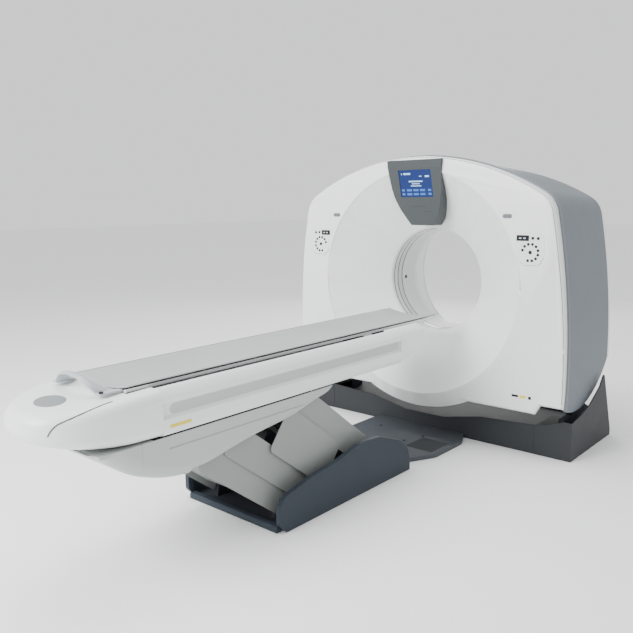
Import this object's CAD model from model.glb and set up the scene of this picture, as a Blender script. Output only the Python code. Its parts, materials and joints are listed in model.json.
"""Looks of the CT scanner: soft-edged covers, finishes, pad, handle, screen and panel details.

Metres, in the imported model's own frame. The bore runs along Y and the table stands on the -Y side.
"""

import json
import logging
import math
from dataclasses import dataclass, field
from enum import Enum

import bmesh
import bpy
from mathutils import Matrix, Vector
from mathutils.geometry import interpolate_bezier

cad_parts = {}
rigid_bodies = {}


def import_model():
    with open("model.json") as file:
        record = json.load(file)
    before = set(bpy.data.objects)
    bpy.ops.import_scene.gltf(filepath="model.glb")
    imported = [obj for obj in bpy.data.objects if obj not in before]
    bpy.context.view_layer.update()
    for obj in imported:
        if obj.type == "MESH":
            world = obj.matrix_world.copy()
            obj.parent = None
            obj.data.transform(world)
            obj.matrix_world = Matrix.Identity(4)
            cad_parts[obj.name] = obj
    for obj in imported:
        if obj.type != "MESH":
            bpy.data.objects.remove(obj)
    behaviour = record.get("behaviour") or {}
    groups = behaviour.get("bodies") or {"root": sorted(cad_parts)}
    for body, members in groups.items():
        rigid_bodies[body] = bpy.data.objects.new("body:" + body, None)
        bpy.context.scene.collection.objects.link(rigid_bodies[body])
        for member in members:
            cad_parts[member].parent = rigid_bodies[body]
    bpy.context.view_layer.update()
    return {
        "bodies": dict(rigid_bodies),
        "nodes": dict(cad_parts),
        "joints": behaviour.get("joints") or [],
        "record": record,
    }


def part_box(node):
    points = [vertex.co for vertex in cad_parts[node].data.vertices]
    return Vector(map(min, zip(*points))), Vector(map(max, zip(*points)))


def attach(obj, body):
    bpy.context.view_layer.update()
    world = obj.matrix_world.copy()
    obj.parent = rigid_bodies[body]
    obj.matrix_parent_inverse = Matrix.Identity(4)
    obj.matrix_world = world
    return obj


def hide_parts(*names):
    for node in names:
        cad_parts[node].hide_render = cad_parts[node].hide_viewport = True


LOG = logging.getLogger("ct_scanner")
MM = 0.001
WELD = 0.04 * MM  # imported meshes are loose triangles, so corners this close are merged
LINER_WALL = 5.0 * MM
GROOVE_DEPTH = 16.0 * MM
# The nose's joint, as knots and handles of two curves: degrees round the outline, mm down from the flat top.
NOSE_JOINT = ((14, 2), (20, 2), (38, 34), (50, 50.5), (55, 57), (58.5, 80), (60, 97))
SCREEN_FLOOR = 1.45  # the big screen is above this height, and the panels' readouts are below it


class Side(Enum):
    """The two sides of the machine, as the sign of X."""

    LEFT = -1
    RIGHT = 1


@dataclass(frozen=True)
class Finish:
    """A procedural surface: a colour with faint mottling, and fine grain as bump.

    Attributes:
        name: the material's name.
        colour: linear base colour.
        roughness: middle value of the roughness.
        metallic: 0 for paint and plastic, 1 for bare metal.
        coat: strength of the clear coat.
        grain: depth of the moulded texture, in metres.
        grain_scale: grains per metre.
        mottle: how far the colour drifts over the surface, as a share of it.
        stretch: how much longer the grain is along Y than across it.
        glow: strength of the light the surface gives off.
        shine: how strongly it mirrors its surroundings, 0.5 for ordinary plastic.
    """

    name: str
    colour: tuple[float, float, float]
    roughness: float
    metallic: float = 0.0
    coat: float = 0.0
    grain: float = 0.0
    grain_scale: float = 900.0
    mottle: float = 0.02
    stretch: float = 1.0
    glow: float = 0.0
    shine: float = 0.35

    def build(self) -> bpy.types.Material:
        """Make the material, or return the one already made.

        Returns:
            The finished material.
        """
        label = f"look_{self.name}"
        made = bpy.data.materials.get(label)
        if made is not None:
            return made
        material = bpy.data.materials.new(label)
        material.use_nodes = True
        tree = material.node_tree
        shader = tree.nodes["Principled BSDF"]
        shader.inputs["Metallic"].default_value = self.metallic
        shader.inputs["Coat Weight"].default_value = self.coat
        shader.inputs["Coat Roughness"].default_value = 0.08
        shader.inputs["Specular IOR Level"].default_value = self.shine
        place = tree.nodes.new("ShaderNodeTexCoord")
        turn = tree.nodes.new("ShaderNodeMapping")
        turn.inputs["Scale"].default_value = (1.0, 1.0 / self.stretch, 1.0)
        tree.links.new(place.outputs["Object"], turn.inputs["Vector"])
        self._colour(tree, shader, turn)
        self._roughness(tree, shader, turn)
        if self.grain > 0.0:
            self._grain(tree, shader, turn)
        if self.glow > 0.0:
            shader.inputs["Emission Color"].default_value = (*self.colour, 1.0)
            shader.inputs["Emission Strength"].default_value = self.glow
        material.diffuse_color = (*self.colour, 1.0)
        return material

    def _noise(self, tree: bpy.types.NodeTree, turn: bpy.types.Node, scale: float) -> bpy.types.Node:
        """Add a noise texture of the given scale that follows the piece."""
        noise = tree.nodes.new("ShaderNodeTexNoise")
        noise.inputs["Scale"].default_value = scale
        noise.inputs["Detail"].default_value = 4.0
        tree.links.new(turn.outputs["Vector"], noise.inputs["Vector"])
        return noise

    def _colour(self, tree: bpy.types.NodeTree, shader: bpy.types.Node, turn: bpy.types.Node) -> None:
        """Let the base colour drift faintly over the surface."""
        noise = self._noise(tree, turn, 2.3)
        ramp = tree.nodes.new("ShaderNodeValToRGB")
        low, high = (tuple(min(1.0, c * (1.0 + s * self.mottle)) for c in self.colour) for s in (-1, 1))
        ramp.color_ramp.elements[0].position = 0.3
        ramp.color_ramp.elements[0].color = (*low, 1.0)
        ramp.color_ramp.elements[1].position = 0.7
        ramp.color_ramp.elements[1].color = (*high, 1.0)
        tree.links.new(noise.outputs["Fac"], ramp.inputs["Fac"])
        tree.links.new(ramp.outputs["Color"], shader.inputs["Base Color"])

    def _roughness(self, tree: bpy.types.NodeTree, shader: bpy.types.Node, turn: bpy.types.Node) -> None:
        """Vary the roughness a little, as handled plastic and paint do."""
        noise = self._noise(tree, turn, 14.0)
        spread = tree.nodes.new("ShaderNodeMapRange")
        spread.inputs["To Min"].default_value = self.roughness * 0.9
        spread.inputs["To Max"].default_value = min(1.0, self.roughness * 1.12)
        tree.links.new(noise.outputs["Fac"], spread.inputs["Value"])
        tree.links.new(spread.outputs["Result"], shader.inputs["Roughness"])

    def _grain(self, tree: bpy.types.NodeTree, shader: bpy.types.Node, turn: bpy.types.Node) -> None:
        """Add the moulded or woven grain as bump."""
        noise = self._noise(tree, turn, self.grain_scale)
        bump = tree.nodes.new("ShaderNodeBump")
        bump.inputs["Strength"].default_value = 0.5
        bump.inputs["Distance"].default_value = self.grain
        tree.links.new(noise.outputs["Fac"], bump.inputs["Height"])
        tree.links.new(bump.outputs["Normal"], shader.inputs["Normal"])


COVER_WHITE = Finish("cover_white", (0.80, 0.81, 0.81), 0.34, coat=0.15, grain=0.00008, mottle=0.012)
COVER_GREY = Finish("cover_blue_grey", (0.150, 0.172, 0.195), 0.42, grain=0.00010, shine=0.12)
TRIM_GREY = Finish("edge_trim_grey", (0.170, 0.187, 0.205), 0.36, shine=0.15)
LINER_WHITE = Finish("liner_white", (0.72, 0.73, 0.72), 0.40)
WINDOW_FILM = Finish("scan_window_film", (0.60, 0.62, 0.64), 0.22, coat=0.4)
DARK_BAND = Finish("dark_band", (0.028, 0.030, 0.034), 0.38, shine=0.1)
CHARCOAL = Finish("base_charcoal", (0.038, 0.041, 0.045), 0.46, grain=0.00012, shine=0.1)
SLATE = Finish("table_slate", (0.034, 0.043, 0.055), 0.42, grain=0.00010, shine=0.12)
CONSOLE = Finish("console_slate", (0.060, 0.068, 0.071), 0.36, grain=0.00006, shine=0.18)
CONSOLE_DARK = Finish("console_deep", (0.020, 0.023, 0.028), 0.40, shine=0.1)
SCREEN = Finish("screen_blue", (0.004, 0.016, 0.090), 0.12, glow=0.9, shine=0.2)
SCREEN_LIGHT = Finish("screen_light", (0.030, 0.110, 0.330), 0.30, glow=0.9)
SCREEN_PALE = Finish("screen_pale", (0.30, 0.46, 0.66), 0.30, glow=0.9)
PANEL = Finish("panel_grey", (0.78, 0.79, 0.80), 0.42, grain=0.00005)
KEY = Finish("key_dark", (0.018, 0.020, 0.026), 0.40, shine=0.15)
KEY_PALE = Finish("key_pale", (0.50, 0.52, 0.54), 0.40)
FRAME = Finish("frame_paint", (0.030, 0.033, 0.040), 0.48, grain=0.00008, shine=0.1)
STEEL = Finish("bare_steel", (0.55, 0.55, 0.56), 0.30, metallic=1.0, grain=0.00003, stretch=8.0)
ALUMINIUM = Finish("cast_aluminium", (0.62, 0.62, 0.63), 0.45, metallic=1.0, grain=0.00006)
HOUSING = Finish("housing_white", (0.80, 0.82, 0.82), 0.32, coat=0.15, grain=0.00006, mottle=0.012)
BOAT = Finish("boat_grey", (0.44, 0.47, 0.45), 0.40, grain=0.00008, shine=0.2)
SLAT = Finish("slat_grey", (0.27, 0.29, 0.28), 0.48, grain=0.00006, shine=0.15)
FLOOR_PLATE = Finish("floor_plate_slate", (0.062, 0.070, 0.080), 0.50, grain=0.00015)
PAD = Finish("pad_vinyl", (0.37, 0.385, 0.38), 0.55, grain=0.00018, grain_scale=650.0, mottle=0.04)
PIPING = Finish("pad_piping", (0.45, 0.46, 0.46), 0.50)
BOARD = Finish("cradle_board_grey", (0.70, 0.71, 0.72), 0.38, coat=0.2)
RUBBER = Finish("rubber_black", (0.025, 0.025, 0.026), 0.75)
SIGNAL = Finish("signal_yellow", (0.72, 0.62, 0.06), 0.45)
CAP_GREY = Finish("cap_grey", (0.20, 0.22, 0.23), 0.36, coat=0.1)
GROOVE = Finish("housing_groove", (0.50, 0.52, 0.52), 0.45, shine=0.2)
READOUT = Finish("readout_black", (0.010, 0.012, 0.016), 0.20, shine=0.3)
HANDLE = Finish("handle_silver_white", (0.42, 0.45, 0.47), 0.26, coat=0.4, mottle=0.01)
STUDIO_FLOOR = Finish("studio_floor", (0.93, 0.93, 0.93), 0.85, mottle=0.004)


@dataclass(frozen=True)
class Shell:
    """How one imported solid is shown.

    Attributes:
        node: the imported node's name.
        finish: its surface.
        edge: the radius of its softened edges in metres, or 0 to leave the solid as it is.
    """

    node: str
    finish: Finish
    edge: float = 0.0


SHELLS = (
    Shell("front_cover", COVER_WHITE, 0.0022),
    Shell("edge_trim", TRIM_GREY, 0.0030),
    Shell("side_cover_left", COVER_GREY, 0.0022),
    Shell("side_cover_right", COVER_GREY, 0.0022),
    Shell("top_cover", COVER_GREY, 0.0022),
    Shell("belly_cover", CHARCOAL, 0.0),
    Shell("rear_cover", COVER_WHITE, 0.0022),
    Shell("bore_liner", LINER_WHITE, 0.0),
    Shell("scan_window", WINDOW_FILM, 0.0),
    Shell("laser_windows", DARK_BAND, 0.0),
    Shell("display_console", CONSOLE, 0.0040),
    Shell("display_screens", SCREEN, 0.0),
    Shell("control_panels", PANEL, 0.0020),
    Shell("ring_keypads", KEY, 0.0004),
    Shell("base_front_cover", CHARCOAL, 0.0025),
    Shell("base_rear_cover", CHARCOAL, 0.0025),
    Shell("base_corner_cover_left", CHARCOAL, 0.0028),
    Shell("base_corner_cover_right", CHARCOAL, 0.0028),
    Shell("gantry_base_frame", FRAME, 0.0),
    Shell("gearmotors", FRAME, 0.0060),
    Shell("anchor_bolts", STEEL, 0.0),
    Shell("table_base_frame", FRAME, 0.0),
    Shell("table_base_covers", SLATE, 0.0035),
    Shell("docking_plate", FLOOR_PLATE, 0.0050),
    Shell("docking_fittings", CHARCOAL, 0.0012),
    Shell("tilting_frame", ALUMINIUM, 0.0),
    Shell("bearing_outer_ring", STEEL, 0.0),
    Shell("bearing_inner_ring", STEEL, 0.0),
    Shell("rotor_drum", ALUMINIUM, 0.0),
    Shell("slip_ring", RUBBER, 0.0),
    Shell("xray_tube", STEEL, 0.0050),
    Shell("collimator", FRAME, 0.0050),
    Shell("detector_array", FRAME, 0.0),
    Shell("rotor_modules", FRAME, 0.0050),
    Shell("lift_link_rear", FRAME, 0.0),
    Shell("lift_link_front", FRAME, 0.0),
    Shell("leg_slat_rear", SLAT, 0.0014),
    Shell("leg_slat_main", SLAT, 0.0014),
    Shell("leg_slat_middle", SLAT, 0.0014),
    Shell("leg_slat_front", SLAT, 0.0014),
    Shell("carrier_frame", FRAME, 0.0),
    Shell("boat_cover", BOAT, 0.0020),
    Shell("boat_foot_cap", BOAT, 0.0020),
    Shell("top_housing", HOUSING, 0.0030),
    Shell("housing_head_cap", HOUSING, 0.0120),
    Shell("cradle_drive", FRAME, 0.0),
    Shell("cradle_board", BOARD, 0.0030),
    Shell("support_roller", RUBBER, 0.0),
    Shell("drive_wheel", RUBBER, 0.0),
    Shell("release_key", KEY, 0.0008),
)
KEY_PLACES = ("centre", "inner", "outer")
TRAVEL_KEYS = tuple(f"{place}_key_{side.name.lower()}" for place in KEY_PLACES for side in Side)


@dataclass
class Workshop:
    """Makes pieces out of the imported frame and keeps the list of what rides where.

    Attributes:
        home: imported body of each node.
    """

    frame: dict
    home: dict[str, str] = field(default_factory=dict)

    def __post_init__(self) -> None:
        """Note which body holds each node."""
        bodies = self.frame["record"]["behaviour"]["bodies"]
        self.home = {node: body for body, nodes in bodies.items() for node in nodes}

    def slot_of(self, node: str) -> str:
        """Return the record's material slot of a node."""
        rows = self.frame["record"]["subparts"]
        return next(row["material_slot"] for row in rows if row["node"] == node)

    def add(self, name: str, shape: bmesh.types.BMesh, finish: Finish, body: str, smooth: float = 35.0,
            slot: str | None = None) -> bpy.types.Object:
        """Turn a bmesh into a piece that rides on a body.

        Args:
            name: the piece's name.
            shape: its mesh in the row frame; it is freed here.
            finish: its surface.
            body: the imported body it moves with.
            smooth: edges under this angle in degrees are shaded round.
            slot: the record's material slot it takes its finish from, if any.

        Returns:
            The new object.
        """
        mesh = bpy.data.meshes.new(name)
        shape.to_mesh(mesh)
        shape.free()
        mesh.shade_smooth()
        mesh.set_sharp_from_angle(angle=math.radians(smooth))
        piece = bpy.data.objects.new(name, mesh)
        bpy.context.collection.objects.link(piece)
        mesh.materials.append(finish.build())
        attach(piece, body)
        LOG.info("piece %s rides on %s with %d faces", name, body, len(mesh.polygons))
        return piece

    def dress(self, shell: Shell) -> None:
        """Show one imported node, with softened edges where the shell asks for them."""
        node = self.frame["nodes"][shell.node]
        if shell.edge <= 0.0:
            node.data.materials.clear()
            node.data.materials.append(shell.finish.build())
            return
        shape = bmesh.new()
        shape.from_mesh(node.data)
        bmesh.ops.remove_doubles(shape, verts=shape.verts, dist=WELD)
        bmesh.ops.dissolve_limit(shape, angle_limit=math.radians(0.6), verts=shape.verts, edges=shape.edges)
        piece = self.add(f"{shell.node}_shown", shape, shell.finish, self.home[shell.node],
                         slot=self.slot_of(shell.node))
        soften(piece, shell.edge)
        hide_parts(shell.node)


def soften(piece: bpy.types.Object, radius: float, angle: float = 32.0) -> None:
    """Round the sharp edges of a piece with a live bevel.

    Args:
        piece: the object to finish.
        radius: how far the bevel reaches, in metres.
        angle: edges sharper than this many degrees are rounded.
    """
    bevel = piece.modifiers.new("soft_edges", "BEVEL")
    bevel.width = radius
    bevel.segments = 3
    bevel.limit_method = "ANGLE"
    bevel.angle_limit = math.radians(angle)
    bevel.harden_normals = True


def bar(shape: bmesh.types.BMesh, low: tuple[float, float, float], high: tuple[float, float, float]) -> None:
    """Add a box between two corners to a mesh."""
    a, b = Vector(low), Vector(high)
    place = Matrix.Translation((a + b) / 2) @ Matrix.Diagonal((*(b - a), 1.0))
    bmesh.ops.create_cube(shape, size=1.0, matrix=place)


def button(shape: bmesh.types.BMesh, centre: tuple[float, float, float], radius: float, depth: float,
           sides: int = 32) -> None:
    """Add a round plate that faces along Y to a mesh."""
    place = Matrix.Translation(centre) @ Matrix.Rotation(math.pi / 2, 4, "X")
    bmesh.ops.create_cone(shape, cap_ends=True, segments=sides, radius1=radius, radius2=radius, depth=depth,
                          matrix=place)


def band(inner: float, outer: float, front: float, rear: float, height: float,
         steps: int = 128) -> bmesh.types.BMesh:
    """Return a ring about the bore's axis, spun from its section.

    Args:
        inner: inside radius.
        outer: outside radius.
        front: y of the front face.
        rear: y of the rear face.
        height: height of the bore's axis.
        steps: how many steps make the turn.

    Returns:
        The closed ring.
    """
    shape = bmesh.new()
    outline = ((inner, front), (outer, front), (outer, rear), (inner, rear))
    corners = [shape.verts.new((radius, y, height)) for radius, y in outline]
    section = shape.faces.new(corners)
    bmesh.ops.spin(shape, geom=[section, *section.edges, *section.verts], cent=(0, 0, height), axis=(0, 1, 0),
                   angle=math.tau, steps=steps, use_merge=True)
    bmesh.ops.remove_doubles(shape, verts=shape.verts, dist=1e-6)
    inside = [face for face in shape.faces if all(len(edge.link_faces) > 2 for edge in face.edges)]
    bmesh.ops.delete(shape, geom=inside, context="FACES")
    bmesh.ops.recalc_face_normals(shape, faces=shape.faces)
    return shape


@dataclass
class GantryTrim:
    """Rings inside the bore, and the marks and seams on the head's covers.

    Attributes:
        shop: where the pieces are made.
        axis: height of the bore's axis.
        bore: radius of the bore.
    """

    shop: Workshop
    axis: float = 0.0
    bore: float = 0.0

    def __post_init__(self) -> None:
        """Read the bore's size and place from its liner."""
        low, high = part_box("bore_liner")
        self.axis = (low[2] + high[2]) / 2.0
        self.bore = (high[0] - low[0]) / 2.0 - LINER_WALL

    def build(self) -> None:
        """Build every ring and mark."""
        self.scan_lines()
        self.icon_pills()
        self.colour_labels()
        self.top_panel()

    def scan_lines(self) -> None:
        """Dark lines round the bore beside the scan window."""
        window_front, window_rear = (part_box("scan_window")[i][1] for i in (0, 1))
        for number, y in enumerate((window_front - 0.044, window_front, window_rear)):
            ring = band(self.bore - 0.0006, self.bore + 0.0004, y - 0.0035, y + 0.0035, self.axis)
            self.shop.add(f"scan_line_{number}", ring, DARK_BAND, "head")

    def icon_pills(self) -> None:
        """Raised pill-shaped marks near the top of each side."""
        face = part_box("control_panels")[0][1] + 0.001
        for side in Side:
            shape = bmesh.new()
            x = side.value * 0.647
            bar(shape, (x - 0.018, face - 0.0006, 1.458), (x + 0.018, face + 0.002, 1.482))
            for end in (-0.018, 0.018):
                button(shape, (x + end, face + 0.0007, 1.470), 0.012, 0.0026)
            self.shop.add(f"icon_pill_{side.name.lower()}", shape, TRIM_GREY, "head")

    def colour_labels(self) -> None:
        """Small plain colour fields low on the right of the front cover."""
        y = -0.343 + 0.036 * (1.250 - 0.386) / (1.250 - 0.285)
        shape = bmesh.new()
        bar(shape, (0.752, y - 0.0006, 0.377), (0.790, y + 0.003, 0.395))
        self.shop.add("label_field_yellow", shape, SIGNAL, "head")
        shape = bmesh.new()
        bar(shape, (0.700, y - 0.0006, 0.379), (0.742, y + 0.003, 0.393))
        bar(shape, (0.806, y - 0.0006, 0.377), (0.824, y + 0.003, 0.395))
        self.shop.add("label_field_dark", shape, KEY, "head")

    def top_panel(self) -> None:
        """Seams across the top cover where its panels meet."""
        node = self.shop.frame["nodes"]["top_cover"]
        low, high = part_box("top_cover")
        for number, share in enumerate((0.30, 0.74)):
            y = low[1] + (high[1] - low[1]) * share
            shape = bmesh.new()
            shape.from_mesh(node.data)
            bmesh.ops.remove_doubles(shape, verts=shape.verts, dist=WELD)
            for edge, sign in ((y - 0.0015, -1), (y + 0.0015, 1)):
                geom = [*shape.verts, *shape.edges, *shape.faces]
                bmesh.ops.bisect_plane(shape, geom=geom, plane_co=(0, edge, 0), plane_no=(0, sign, 0),
                                       clear_outer=True)
            outer = [face for face in shape.faces if face.normal.z < 0.2 or face.calc_center_median().z < 1.5]
            bmesh.ops.delete(shape, geom=outer, context="FACES")
            bmesh.ops.translate(shape, verts=shape.verts, vec=(0, 0, 0.0006))
            self.shop.add(f"top_seam_{number}", shape, DARK_BAND, "head")


@dataclass
class ConsoleFace:
    """Screen picture and slots on the display console.

    Attributes:
        shop: where the pieces are made.
        foot: the middle of the screen's lower front edge.
        lean: how far the screen leans forward, in radians.
    """

    shop: Workshop
    foot: Vector = field(default_factory=Vector)
    lean: float = 0.0

    def __post_init__(self) -> None:
        """Measure where the screen stands and how it leans."""
        screens = self.shop.frame["nodes"]["display_screens"].data.vertices
        glass = [vert.co for vert in screens if vert.co.z > SCREEN_FLOOR]
        low = min(glass, key=lambda co: co.z)
        crown = min(glass, key=lambda co: co.y)
        self.foot = Vector((0.0, low.y, low.z))
        self.lean = math.atan2(low.y - crown.y, crown.z - low.z)

    def build(self) -> None:
        """Build the picture on the screen and the slots under it."""
        self.picture()
        self.slots()

    def picture(self) -> None:
        """Plain blocks of light on the screen: a header, figures and two rows of tiles."""
        pale = bmesh.new()
        for left, right, low, high in ((-0.104, -0.098, 0.146, 0.156), (-0.086, -0.034, 0.146, 0.157),
                                       (0.030, 0.050, 0.132, 0.137), (0.074, 0.104, 0.128, 0.139),
                                       (-0.052, 0.052, 0.098, 0.106), (-0.030, 0.030, 0.084, 0.089),
                                       (-0.040, 0.040, 0.070, 0.075)):
            self.patch(pale, left, right, low, high)
        self.shop.add("screen_figures", pale, SCREEN_PALE, "head")
        tiles = bmesh.new()
        columns = ((-0.112, -0.090), (-0.074, -0.036), (-0.024, 0.014), (0.026, 0.064), (0.086, 0.110))
        for row in (0.012, 0.038):
            for left, right in columns:
                self.patch(tiles, left, right, row, row + 0.014)
        self.shop.add("screen_tiles", tiles, SCREEN_LIGHT, "head")

    def patch(self, shape: bmesh.types.BMesh, left: float, right: float, low: float, high: float) -> None:
        """Add a thin block of light, placed by its sides and its heights up the leaning screen."""
        turn = Matrix.Translation(self.foot) @ Matrix.Rotation(self.lean, 4, "X")
        middle = Matrix.Translation(((left + right) / 2, -0.0002, (low + high) / 2))
        size = Matrix.Diagonal((right - left, 0.0008, high - low, 1.0))
        bmesh.ops.create_cube(shape, size=1.0, matrix=turn @ middle @ size)

    def slots(self) -> None:
        """Two thin dark slots across the console's lower part, which slopes further back than the screen."""
        slope = 0.356
        for number, (z, left, right) in enumerate(((1.528, -0.062, 0.052), (1.496, 0.030, 0.092))):
            y = self.foot.y - 0.003 + slope * (1.593 - z)
            shape = bmesh.new()
            bar(shape, (left, y - 0.0016, z - 0.0022), (right, y + 0.004, z + 0.0022))
            self.shop.add(f"console_slot_{number}", shape, CONSOLE_DARK, "head")


@dataclass
class TableTrim:
    """Groove floors and a label field along the housing, and the lid over the lower cover's foot end.

    Attributes:
        shop: where the pieces are made.
    """

    shop: Workshop

    def build(self) -> None:
        """Build the groove floors, the label field and the lid."""
        self.grooves()
        self.label()
        self.lid()

    def label(self) -> None:
        """A small plain yellow field low on the housing's right side, near its foot."""
        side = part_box("top_housing")[1][0]
        shape = bmesh.new()
        bar(shape, (side - 0.001, -2.560, 0.662), (side + 0.0004, -2.450, 0.676))
        self.shop.add("label_field_table", shape, SIGNAL, "housing")

    def grooves(self) -> None:
        """The darker floor of the long groove in each side of the sliding housing."""
        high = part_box("top_housing")[1]
        depth = high[0] - GROOVE_DEPTH
        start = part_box("foot_nose")[1][1] + 0.064
        for side in Side:
            shape = bmesh.new()
            x0, x1 = sorted((side.value * (depth - 0.002), side.value * (depth + 0.0006)))
            bar(shape, (x0, start, 0.713), (x1, high[1] - 0.010, 0.757))
            place = Matrix.Translation(((x0 + x1) / 2, start, 0.735)) @ Matrix.Rotation(math.pi / 2, 4, "Y")
            bmesh.ops.create_cone(shape, cap_ends=True, segments=32, radius1=0.022, radius2=0.022,
                                  depth=(x1 - x0) * 0.9, matrix=place)
            self.shop.add(f"groove_floor_{side.name.lower()}", shape, GROOVE, "housing")

    def lid(self) -> None:
        """A plate that closes the lower cover's foot end under the nose."""
        low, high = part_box("boat_foot_cap")
        shape = bmesh.new()
        near = (low[0] + 0.005, low[1] + 0.020, high[2] - 0.012)
        far = (high[0] - 0.005, high[1] + 0.060, high[2] - 0.001)
        bar(shape, near, far)
        self.shop.add("boat_foot_lid", shape, BOAT, "carrier")


@dataclass
class PanelDetails:
    """Outlines, key finishes and readouts of the two control panels.

    Attributes:
        shop: where the pieces are made.
    """

    shop: Workshop

    def build(self) -> None:
        """Dress the keys that travel and draw the plates' outlines."""
        for key in TRAVEL_KEYS:
            self.shop.dress(Shell(key, KEY, 0.0008))
        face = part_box("control_panels")[0][1]
        for side in Side:
            self.outline(side, face)
            self.readout(side)

    def outline(self, side: Side, face: float) -> None:
        """A thin outline round the panel's plate."""
        shape = bmesh.new()
        node = self.shop.frame["nodes"]["control_panels"]
        shape.from_mesh(node.data)
        bmesh.ops.remove_doubles(shape, verts=shape.verts, dist=WELD)
        other = [vert for vert in shape.verts if vert.co.x * side.value < 0]
        bmesh.ops.delete(shape, geom=other, context="VERTS")
        rear = [f for f in shape.faces if abs(f.normal.y) > 0.4]
        bmesh.ops.delete(shape, geom=rear, context="FACES")
        middle = sum((vert.co for vert in shape.verts), Vector()) / max(1, len(shape.verts))
        inner = [v for v in shape.verts if (v.co - middle).xz.length < 0.075]
        bmesh.ops.delete(shape, geom=inner, context="VERTS")
        for vert in shape.verts:
            vert.co.x = middle.x + (vert.co.x - middle.x) * 1.016
            vert.co.z = middle.z + (vert.co.z - middle.z) * 1.016
            vert.co.y = vert.co.y if vert.co.y > face + 0.0015 else face + 0.0012
        self.shop.add(f"panel_outline_{side.name.lower()}", shape, TRIM_GREY, "head")

    def readout(self, side: Side) -> None:
        """The black glass over a panel's readout, with two small figures."""
        glass = [vert.co for vert in self.shop.frame["nodes"]["display_screens"].data.vertices
                 if vert.co.z < SCREEN_FLOOR and vert.co.x * side.value > 0]
        xs, zs = [co.x for co in glass], [co.z for co in glass]
        front = min(co.y for co in glass)
        shape = bmesh.new()
        bar(shape, (min(xs), front - 0.0006, min(zs)), (max(xs), front + 0.0004, max(zs)))
        self.shop.add(f"readout_glass_{side.name.lower()}", shape, READOUT, "head")
        shape = bmesh.new()
        middle = (min(xs) + max(xs)) / 2
        for left in (middle - 0.022, middle + 0.004):
            bar(shape, (left, front - 0.0009, min(zs) + 0.012), (left + 0.014, front, min(zs) + 0.020))
        self.shop.add(f"readout_figures_{side.name.lower()}", shape, KEY_PALE, "head")


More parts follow.
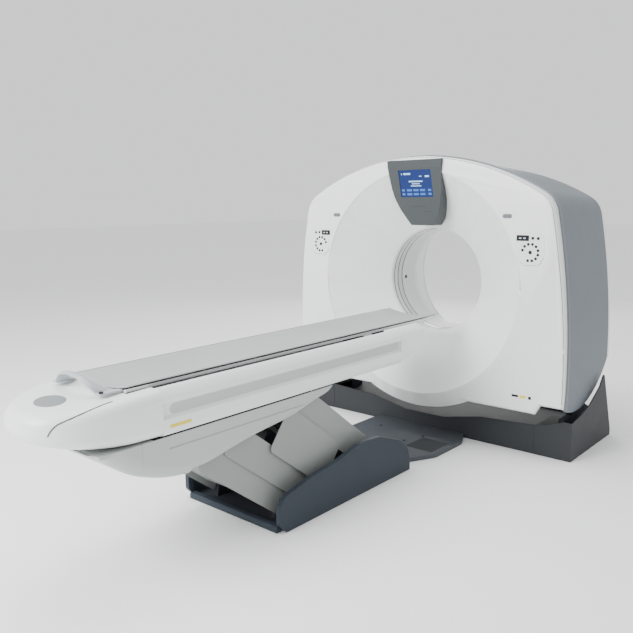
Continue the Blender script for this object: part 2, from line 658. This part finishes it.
@dataclass
class FootNose:
    """The rounded foot end of the sliding housing with its cap.

    Attributes:
        shop: where the pieces are made.
        round_over: radius of the top and bottom edges.
        steps: how many rings turn each rounded edge.
        low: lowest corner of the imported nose.
        high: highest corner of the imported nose.
    """

    shop: Workshop
    round_over: float = 0.046
    steps: int = 6
    low: tuple[float, float, float] = (0.0, 0.0, 0.0)
    high: tuple[float, float, float] = (0.0, 0.0, 0.0)

    def __post_init__(self) -> None:
        """Read the nose's size and place."""
        self.low, self.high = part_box("foot_nose")

    def plan(self, inset: float) -> list[tuple[float, float]]:
        """Return the nose's outline seen from above, drawn in by inset, from right to left."""
        half = self.high[0] - inset
        rear = self.high[1]
        rounded = [self.spot(inset, math.pi * step / 40) for step in range(41)]
        return [(half, rear), *rounded, (-half, rear)]

    def spot(self, inset: float, angle: float) -> tuple[float, float]:
        """Return the outline's point at an angle in radians, counted from the right side."""
        half = self.high[0] - inset
        straight = self.high[1] - 0.110
        reach = straight - self.low[1] - inset
        x = half * math.copysign(abs(math.cos(angle)) ** 0.80, math.cos(angle))
        return x, straight - reach * math.sin(angle) ** 0.92

    def top(self, y: float) -> float:
        """Height of the nose's upper edge at y."""
        share = max(0.0, min(1.0, (y - self.low[1]) / (self.high[1] - self.low[1])))
        return self.high[2] - 0.042 * (1.0 - share) ** 1.6

    def bottom(self, y: float) -> float:
        """Height of the nose's lower edge at y."""
        share = max(0.0, min(1.0, (y - self.low[1]) / (self.high[1] - self.low[1])))
        return self.low[2] + 0.050 * (1.0 - share) ** 2.0

    def build(self) -> None:
        """Build the nose as one skin of stacked outlines, closed at the foot and open to the housing."""
        levels = []
        for number in range(self.steps + 1):
            turn = math.pi / 2 * number / self.steps
            inset, lift = self.round_over * (1 - math.sin(turn)), self.round_over * (1 - math.cos(turn))
            levels.append((inset, -1, lift))
        for number in range(self.steps + 1):
            turn = math.pi / 2 * number / self.steps
            inset, lift = self.round_over * (1 - math.cos(turn)), self.round_over * (1 - math.sin(turn))
            levels.append((inset, 1, lift))
        shape = bmesh.new()
        loops = []
        for inset, side, lift in levels:
            verts = []
            for x, y in self.plan(inset):
                z = self.bottom(y) + lift if side < 0 else self.top(y) - lift
                verts.append(shape.verts.new((x, y, z)))
            loops.append([shape.edges.new((verts[i], verts[i + 1])) for i in range(len(verts) - 1)])
        for first, second in zip(loops, loops[1:]):
            bmesh.ops.bridge_loops(shape, edges=[*first, *second])
        rims = [loops[0], loops[-1]]
        for rim in rims:
            ends = {vert for edge in rim for vert in edge.verts if sum(e in rim for e in vert.link_edges) == 1}
            closing = shape.edges.new(tuple(ends))
            bmesh.ops.triangle_fill(shape, use_beauty=True, use_dissolve=False, edges=[*rim, closing])
        bmesh.ops.recalc_face_normals(shape, faces=shape.faces)
        self.open_for_cradle(shape)
        piece = self.shop.add("foot_nose_shown", shape, HOUSING, "housing", smooth=50.0,
                              slot=self.shop.slot_of("foot_nose"))
        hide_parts("foot_nose", "foot_cap")
        self.cap()
        self.parting()

    def open_for_cradle(self, shape: bmesh.types.BMesh) -> None:
        """Cut the notch in the nose's top that the cradle's foot end lies in."""
        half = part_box("cradle_board")[1][0] + 0.006
        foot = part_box("cradle_board")[0][1] - 0.004
        for spot, normal in (((half, 0, 0), (1, 0, 0)), ((-half, 0, 0), (1, 0, 0)), ((0, foot, 0), (0, 1, 0))):
            geom = [*shape.verts, *shape.edges, *shape.faces]
            bmesh.ops.bisect_plane(shape, geom=geom, plane_co=spot, plane_no=normal)
        shape.normal_update()
        notch = []
        for face in shape.faces:
            middle = face.calc_center_median()
            if abs(middle.x) < half and middle.y > foot and middle.z > 0.74:
                notch.append(face)
        bmesh.ops.delete(shape, geom=notch, context="FACES")

    def skin(self, angle: float, fall: float) -> Vector:
        """Return the surface's point at an angle of the outline and a way down from the flat top."""
        turn = min(math.pi / 2, fall / self.round_over)
        wall = max(0.0, fall - self.round_over * math.pi / 2)
        x, y = self.spot(self.round_over * (1.0 - math.sin(turn)), angle)
        return Vector((x, y, self.top(y) - self.round_over * (1.0 - math.cos(turn)) - wall))

    def parting(self) -> None:
        """The dark joint that curves from the handle over the nose's shoulder and down to its foot edge."""
        knots = [Vector(knot) for knot in NOSE_JOINT]
        path = [*interpolate_bezier(*knots[:4], 7), *interpolate_bezier(*knots[3:], 7)[1:]]
        spots = [self.skin(math.radians(angle), fall * MM) for angle, fall in path]
        shape = bmesh.new()
        rows = []
        for number, (spot, (angle, fall)) in enumerate(zip(spots, path)):
            ahead = spots[min(number + 1, len(spots) - 1)]
            back = spots[max(number - 1, 0)]
            onward = self.skin(math.radians(angle + 0.2), fall * MM) - spot
            down = self.skin(math.radians(angle), fall * MM + 0.0005) - spot
            out = onward.cross(down).normalized()
            side = out.cross(ahead - back).normalized() * 0.0019
            middle = spot + out * 0.0014
            rows.append([shape.verts.new(middle + side), shape.verts.new(middle - side)])
        for first, second in zip(rows, rows[1:]):
            shape.faces.new((first[0], first[1], second[1], second[0]))
        bmesh.ops.recalc_face_normals(shape, faces=shape.faces)
        bmesh.ops.solidify(shape, geom=shape.faces[:], thickness=0.0030)
        bmesh.ops.recalc_face_normals(shape, faces=shape.faces)
        self.shop.add("nose_parting", shape, DARK_BAND, "housing")

    def cap(self) -> None:
        """The grey inlay on the nose's top, under the handle."""
        shape = bmesh.new()
        middle = self.low[1] + 0.150
        place = Matrix.Translation((0, middle, 0)) @ Matrix.Diagonal((0.076, 0.056, 1.0, 1.0))
        bmesh.ops.create_circle(shape, cap_ends=True, segments=64, radius=1.0, matrix=place)
        for vert in shape.verts:
            vert.co.z = self.top(vert.co.y) - 0.0004
        raised = bmesh.ops.extrude_face_region(shape, geom=shape.faces[:])
        verts = [item for item in raised["geom"] if isinstance(item, bmesh.types.BMVert)]
        bmesh.ops.translate(shape, verts=verts, vec=(0, 0, 0.0022))
        bmesh.ops.recalc_face_normals(shape, faces=shape.faces)
        piece = self.shop.add("foot_inlay", shape, CAP_GREY, "housing")
        soften(piece, 0.0008)


@dataclass
class PushHandle:
    """The wide arched handle at the cradle's foot, whose ends flare into wings.

    Attributes:
        shop: where the pieces are made.
        span: half the arch's width.
        steps: how many steps run across it.
        rows: how many steps run from its foot edge to its head edge.
    """

    shop: Workshop
    span: float = 0.148
    steps: int = 72
    rows: int = 10

    def build(self) -> None:
        """Build the arch and its wings as one bent plate with its own thickness."""
        low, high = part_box("cradle_handle")
        deck = low[2] + 0.0118
        rise = high[2] - deck - 0.004
        shape = bmesh.new()
        grid = []
        for step in range(self.steps + 1):
            x = (high[0] - 0.001) * (2.0 * step / self.steps - 1.0)
            lift = max(0.0, 1.0 - (x / self.span) ** 2) ** 0.72
            flare = min(1.0, max(0.0, (abs(x) - 0.085) / 0.075)) ** 1.5
            fore = low[1] + 0.010 + 0.034 * (1.0 - lift)
            width = 0.036 + (high[1] - 0.002 - fore - 0.036) * flare
            line = []
            for row in range(self.rows + 1):
                share = row / self.rows
                drop = 0.006 * (2.0 * share - 1.0) ** 2 * lift
                height = deck + rise * lift * (1.0 - flare * share) - drop
                line.append(shape.verts.new((x, fore + width * share, height)))
            grid.append(line)
        for first, second in zip(grid, grid[1:]):
            for row in range(self.rows):
                shape.faces.new((first[row], second[row], second[row + 1], first[row + 1]))
        bmesh.ops.recalc_face_normals(shape, faces=shape.faces)
        bmesh.ops.solidify(shape, geom=shape.faces[:], thickness=0.009)
        bmesh.ops.recalc_face_normals(shape, faces=shape.faces)
        piece = self.shop.add("cradle_handle_shown", shape, HANDLE, "cradle", smooth=50.0,
                              slot=self.shop.slot_of("cradle_handle"))
        soften(piece, 0.0028)
        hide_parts("cradle_handle")


@dataclass
class MattressPad:
    """The long vinyl pad on the cradle: crowned, dished across and piped round its edge.

    Attributes:
        shop: where the pieces are made.
        sag: how far the pad's middle lies below its edges.
        thick: its thickness.
        across: how many cells run across it.
        along: how many cells run along it.
    """

    shop: Workshop
    sag: float = 0.028
    thick: float = 0.013
    across: int = 28
    along: int = 150

    def height(self, x: float) -> float:
        """Height of the pad's upper face over the cradle's section at x."""
        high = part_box("mattress_pad")[1]
        return high[2] - self.sag * (1.0 - (x / high[0]) ** 2)

    def build(self) -> None:
        """Build the pad from a cube cut into a fine grid, bent, crowned and smoothed."""
        low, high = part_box("mattress_pad")
        half = high[0] - 0.002
        middle = (low[1] + high[1]) / 2.0
        reach = (high[1] - low[1]) / 2.0 - 0.003
        shape = bmesh.new()
        bmesh.ops.create_grid(shape, x_segments=self.across, y_segments=self.along, size=1.0)
        for vert in shape.verts:
            u, v = vert.co.x, vert.co.y
            edge = min(1.0 - abs(u), (1.0 - abs(v)) * reach / half)
            puff = self.thick * 0.5 * min(1.0, edge / 0.10) ** 0.5
            wrinkle = 0.0005 * math.sin(v * 61.0 + 2.0 * math.sin(u * 4.0)) * min(1.0, edge / 0.2)
            x, y = u * half, middle + v * reach
            vert.co = Vector((x, y, self.height(x) - self.thick * 0.5 + puff + wrinkle))
        copy = bmesh.ops.duplicate(shape, geom=shape.faces[:])
        lower = [item for item in copy["geom"] if isinstance(item, bmesh.types.BMVert)]
        turned = [item for item in copy["geom"] if isinstance(item, bmesh.types.BMFace)]
        bmesh.ops.reverse_faces(shape, faces=turned)
        for vert in lower:
            x = vert.co.x
            edge = min(1.0 - abs(x) / half, (reach - abs(vert.co.y - middle)) / half)
            swell = min(1.0, max(0.0, edge) / 0.06) ** 0.5
            vert.co.z = self.height(x) - self.thick * 0.5 - self.thick * 0.46 * swell
        bmesh.ops.remove_doubles(shape, verts=shape.verts, dist=0.0002)
        bmesh.ops.recalc_face_normals(shape, faces=shape.faces)
        pad = self.shop.add("mattress_pad_shown", shape, PAD, "cradle", smooth=80.0,
                            slot=self.shop.slot_of("mattress_pad"))
        smooth = pad.modifiers.new("smooth", "SUBSURF")
        smooth.levels = 1
        smooth.render_levels = 1
        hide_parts("mattress_pad")
        self.piping(half, middle, reach)

    def piping(self, half: float, middle: float, reach: float) -> None:
        """A pale cord sewn round the pad's edge."""
        shape = bmesh.new()
        for sign in (-1, 1):
            x = sign * (half + 0.0004)
            place = Matrix.Translation((x, middle, self.height(x) - self.thick * 0.5))
            bmesh.ops.create_cone(shape, cap_ends=True, segments=10, radius1=0.0022, radius2=0.0022,
                                  depth=2 * reach, matrix=place @ Matrix.Rotation(math.pi / 2, 4, "X"))
        self.shop.add("pad_piping", shape, PIPING, "cradle")


@dataclass
class Studio:
    """Floor, lights and camera.

    Attributes:
        eye: where the camera stands.
        yaw: its heading in degrees, counted from +Y towards -X.
        pitch: how far it looks down, in degrees.
        roll: its roll in degrees.
        lens: its focal length for a 36 mm sensor.
    """

    eye: tuple[float, float, float] = (2.5463, -4.2517, 1.5651)
    yaw: float = 40.96
    pitch: float = 9.25
    roll: float = -0.50
    lens: float = 40.18

    def build(self) -> None:
        """Build the floor, the lights and the camera."""
        self.floor()
        self.lights()
        self.camera()

    def floor(self) -> None:
        """A wide pale floor."""
        shape = bmesh.new()
        bmesh.ops.create_grid(shape, x_segments=1, y_segments=1, size=40.0)
        mesh = bpy.data.meshes.new("studio_floor")
        shape.to_mesh(mesh)
        shape.free()
        floor = bpy.data.objects.new("studio_floor", mesh)
        floor.location.z = -0.0005
        bpy.context.collection.objects.link(floor)
        mesh.materials.append(STUDIO_FLOOR.build())

    def lights(self) -> None:
        """Large soft lamps over a bright, even surround."""
        world = bpy.data.worlds.new("studio")
        bpy.context.scene.world = world
        world.use_nodes = True
        ground = world.node_tree.nodes["Background"]
        ground.inputs["Color"].default_value = (0.99, 1.0, 1.0, 1.0)
        ground.inputs["Strength"].default_value = 1.12
        aim = Vector((0.0, -1.1, 0.8))
        for name, spot, size, power in (
            ("key", (-1.6, -6.6, 3.6), 3.0, 520.0),
            ("top", (-0.6, -1.6, 5.2), 3.2, 150.0),
            ("rear", (-3.0, 4.4, 3.4), 3.0, 110.0),
        ):
            lamp = bpy.data.lights.new(name, "AREA")
            lamp.size = size
            lamp.energy = power
            holder = bpy.data.objects.new(name, lamp)
            holder.location = spot
            holder.rotation_euler = (aim - Vector(spot)).to_track_quat("-Z", "Y").to_euler()
            bpy.context.collection.objects.link(holder)

    def camera(self) -> None:
        """The camera at the standard viewing angle."""
        data = bpy.data.cameras.new("camera")
        data.lens = self.lens
        data.sensor_width = 36.0
        data.clip_end = 100.0
        camera = bpy.data.objects.new("camera", data)
        turn = Matrix.Rotation(math.radians(self.yaw), 4, "Z")
        tip = Matrix.Rotation(math.radians(90.0 - self.pitch), 4, "X")
        lean = Matrix.Rotation(math.radians(self.roll), 4, "Z")
        camera.matrix_world = Matrix.Translation(self.eye) @ turn @ tip @ lean
        bpy.context.collection.objects.link(camera)
        bpy.context.scene.camera = camera


def main() -> None:
    """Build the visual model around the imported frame."""
    logging.basicConfig(level=logging.INFO, format="%(name)s %(message)s")
    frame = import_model()
    shop = Workshop(frame)
    for shell in SHELLS:
        shop.dress(shell)
    GantryTrim(shop).build()
    ConsoleFace(shop).build()
    PanelDetails(shop).build()
    TableTrim(shop).build()
    FootNose(shop).build()
    PushHandle(shop).build()
    MattressPad(shop).build()
    Studio().build()


if __name__ == "__main__":
    main()
